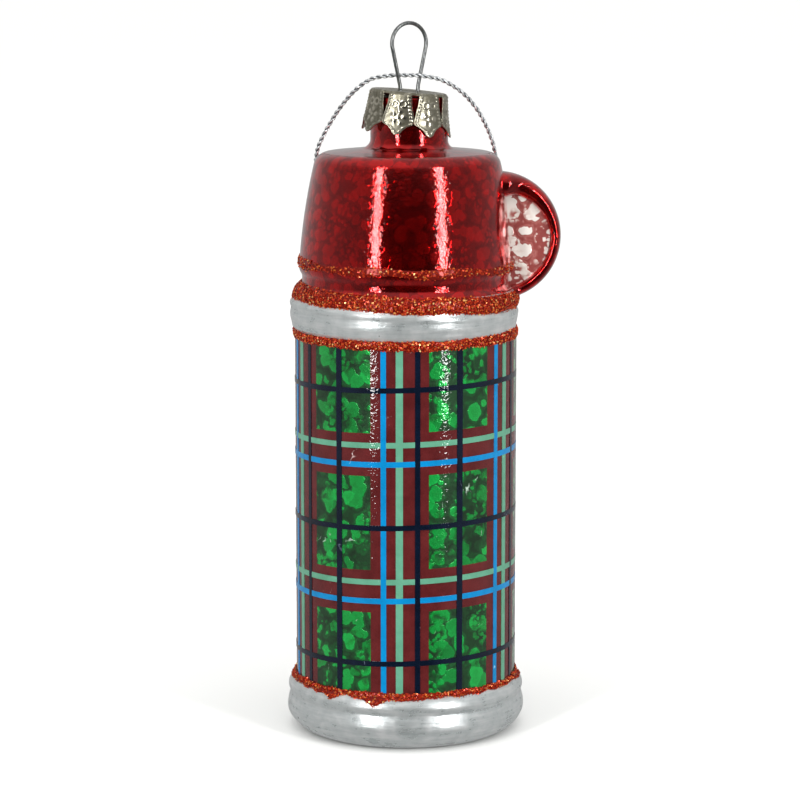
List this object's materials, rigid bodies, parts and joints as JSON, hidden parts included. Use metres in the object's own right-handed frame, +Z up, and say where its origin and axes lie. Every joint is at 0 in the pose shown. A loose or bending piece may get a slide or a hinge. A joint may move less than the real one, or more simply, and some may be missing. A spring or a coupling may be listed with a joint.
{
  "type": "glass flask ornament",
  "caption": "Blown-glass hanging ornament in the form of a plaid vacuum flask, with a lacquered cup and handle, silver bands, glitter, crown cap, wire eye and cord.",
  "frame": {"origin": "centre of the foot, on the surface that the ornament stands on", "axes": "+Z up through the neck, +X towards the cup's handle, -Y to the front"},
  "size_m": [0.0504, 0.0458, 0.1311],
  "materials": {
    "clear_glass": "polished blown glass, mottled by the mirror coat behind it",
    "mirror_silver": "silver mirror coat, broken up into cells",
    "red_lacquer": "glossy transparent red lacquer over mirrored glass",
    "silver_paint": "satin silver paint",
    "clear_film": "clear glossy film",
    "maroon_ink": "opaque gloss ink",
    "green_ink": "transparent green ink over mirrored glass",
    "mint_ink": "opaque gloss ink",
    "blue_ink": "opaque gloss ink",
    "navy_ink": "opaque gloss ink",
    "red_glitter": "coarse red glitter in clear glue",
    "tinplate": "embossed tinplate with a warm tint",
    "steel_wire": "drawn spring wire",
    "silver_cord": "two-ply metallic twist"
  },
  "bodies": {
    "ornament": {"glass_body": "clear_glass", "mirror_lining": "mirror_silver", "red_lacquer": "red_lacquer", "silver_collar_coat": "silver_paint", "silver_base_coat": "silver_paint", "clear_film": "clear_film", "maroon_print": "maroon_ink", "green_print": "green_ink", "mint_print": "mint_ink", "blue_print": "blue_ink", "navy_print": "navy_ink", "glitter_line_cup": "red_glitter", "glitter_band_under_cup": "red_glitter", "glitter_band_under_collar": "red_glitter", "glitter_band_base": "red_glitter"},
    "cap": {"cap_crown": "tinplate", "hanger_wire": "steel_wire"},
    "cord_loop": {"hang_cord": "silver_cord", "cord_knot": "silver_cord"}
  },
  "joints": [
    {"name": "cap_pull", "type": "slide", "parent": "ornament", "child": "cap", "axis": [0, 0, 1], "range_m": [0, 0.026]},
    {"name": "cord_swing", "type": "hinge", "parent": "cap", "child": "cord_loop", "pos_m": [0, 0, 0.1213], "axis": [1, 0, 0], "range_deg": [0, 160]}
  ]
}
